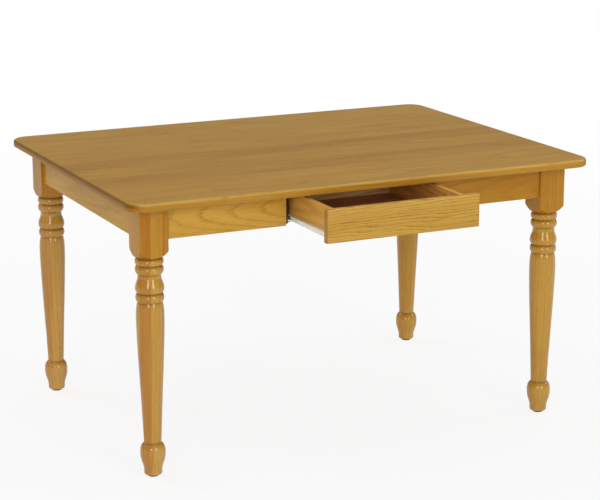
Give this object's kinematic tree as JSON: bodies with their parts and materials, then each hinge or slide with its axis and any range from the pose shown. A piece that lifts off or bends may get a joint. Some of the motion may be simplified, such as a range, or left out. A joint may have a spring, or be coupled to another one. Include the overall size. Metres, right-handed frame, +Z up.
{
  "type": "dining table",
  "caption": "Oak dining table with turned legs, a rounded board top, aprons and a drawer on roller slides.",
  "frame": {"origin": "on the floor, under the middle of the outline box with the drawer drawn out as stored; the top's own middle lies 81 mm behind it, at +Y", "axes": "+X along the table's length, -Y the way the drawer opens, +Z up"},
  "size_m": [1.372, 1.178, 0.762],
  "materials": {
    "oak_top": "satin lacquer",
    "oak_legs": "satin lacquer",
    "oak_aprons": "satin lacquer",
    "oak_drawer_front": "satin lacquer",
    "drawer_wood": "thin lacquer",
    "hardboard": "smooth, uncoated",
    "frame_wood": "sanded, uncoated",
    "dowel_wood": "uncoated",
    "slide_coating": "epoxy coat",
    "roller_nylon": "moulded",
    "glide_plastic": "moulded",
    "zinc_steel": "zinc plated"
  },
  "bodies": {
    "table": {"top_board_1": "oak_top", "top_board_2": "oak_top", "top_board_3": "oak_top", "top_board_4": "oak_top", "top_board_5": "oak_top", "top_board_6": "oak_top", "top_board_7": "oak_top", "top_board_8": "oak_top", "top_board_9": "oak_top", "leg_front_left": "oak_legs", "leg_front_right": "oak_legs", "leg_back_left": "oak_legs", "leg_back_right": "oak_legs", "glide_front_left": "glide_plastic", "glide_front_right": "glide_plastic", "glide_back_left": "glide_plastic", "glide_back_right": "glide_plastic", "corner_block_front_left": "frame_wood", "corner_block_front_right": "frame_wood", "corner_block_back_left": "frame_wood", "corner_block_back_right": "frame_wood", "apron_left": "oak_aprons", "apron_right": "oak_aprons", "apron_back": "oak_aprons", "apron_front_left": "oak_aprons", "apron_front_right": "oak_aprons", "drawer_rail_left": "frame_wood", "drawer_rail_right": "frame_wood", "slide_channel_left": "slide_coating", "slide_channel_right": "slide_coating", "rail_dowels": "dowel_wood", "top_clips": "zinc_steel", "top_clip_screws": "zinc_steel", "hanger_bolts": "zinc_steel", "hanger_washers": "zinc_steel", "hanger_nuts": "zinc_steel", "corner_block_screws": "zinc_steel", "glide_nails": "zinc_steel", "channel_screws": "zinc_steel", "front_roller_axles": "zinc_steel"},
    "drawer": {"drawer_front": "oak_drawer_front", "drawer_side_left": "drawer_wood", "drawer_side_right": "drawer_wood", "drawer_back": "drawer_wood", "drawer_bottom": "hardboard", "slide_runner_left": "slide_coating", "slide_runner_right": "slide_coating", "runner_screws": "zinc_steel", "rear_roller_axles": "zinc_steel"},
    "front_roller_left": {"front_roller_left": "roller_nylon"},
    "front_roller_right": {"front_roller_right": "roller_nylon"},
    "rear_roller_left": {"rear_roller_left": "roller_nylon"},
    "rear_roller_right": {"rear_roller_right": "roller_nylon"}
  },
  "joints": [
    {"name": "drawer_slide", "type": "slide", "parent": "table", "child": "drawer", "axis": [0, -1, 0], "range_m": [-0.24, 0.08]},
    {"name": "front_roller_left_spin", "type": "hinge", "parent": "table", "child": "front_roller_left", "pos_m": [-0.204, -0.316, 0.661], "axis": [1, 0, 0], "continuous": true},
    {"name": "rear_roller_left_spin", "type": "hinge", "parent": "drawer", "child": "rear_roller_left", "pos_m": [-0.204, -0.158, 0.6585], "axis": [1, 0, 0], "continuous": true},
    {"name": "front_roller_right_spin", "type": "hinge", "parent": "table", "child": "front_roller_right", "pos_m": [0.204, -0.316, 0.661], "axis": [1, 0, 0], "continuous": true},
    {"name": "rear_roller_right_spin", "type": "hinge", "parent": "drawer", "child": "rear_roller_right", "pos_m": [0.204, -0.158, 0.6585], "axis": [1, 0, 0], "continuous": true}
  ],
  "couplings": [
    {"joint": "front_roller_left_spin", "follows": "drawer_slide", "rad_per_m": 142.86},
    {"joint": "rear_roller_left_spin", "follows": "drawer_slide", "rad_per_m": 142.86},
    {"joint": "front_roller_right_spin", "follows": "drawer_slide", "rad_per_m": 142.86},
    {"joint": "rear_roller_right_spin", "follows": "drawer_slide", "rad_per_m": 142.86}
  ]
}
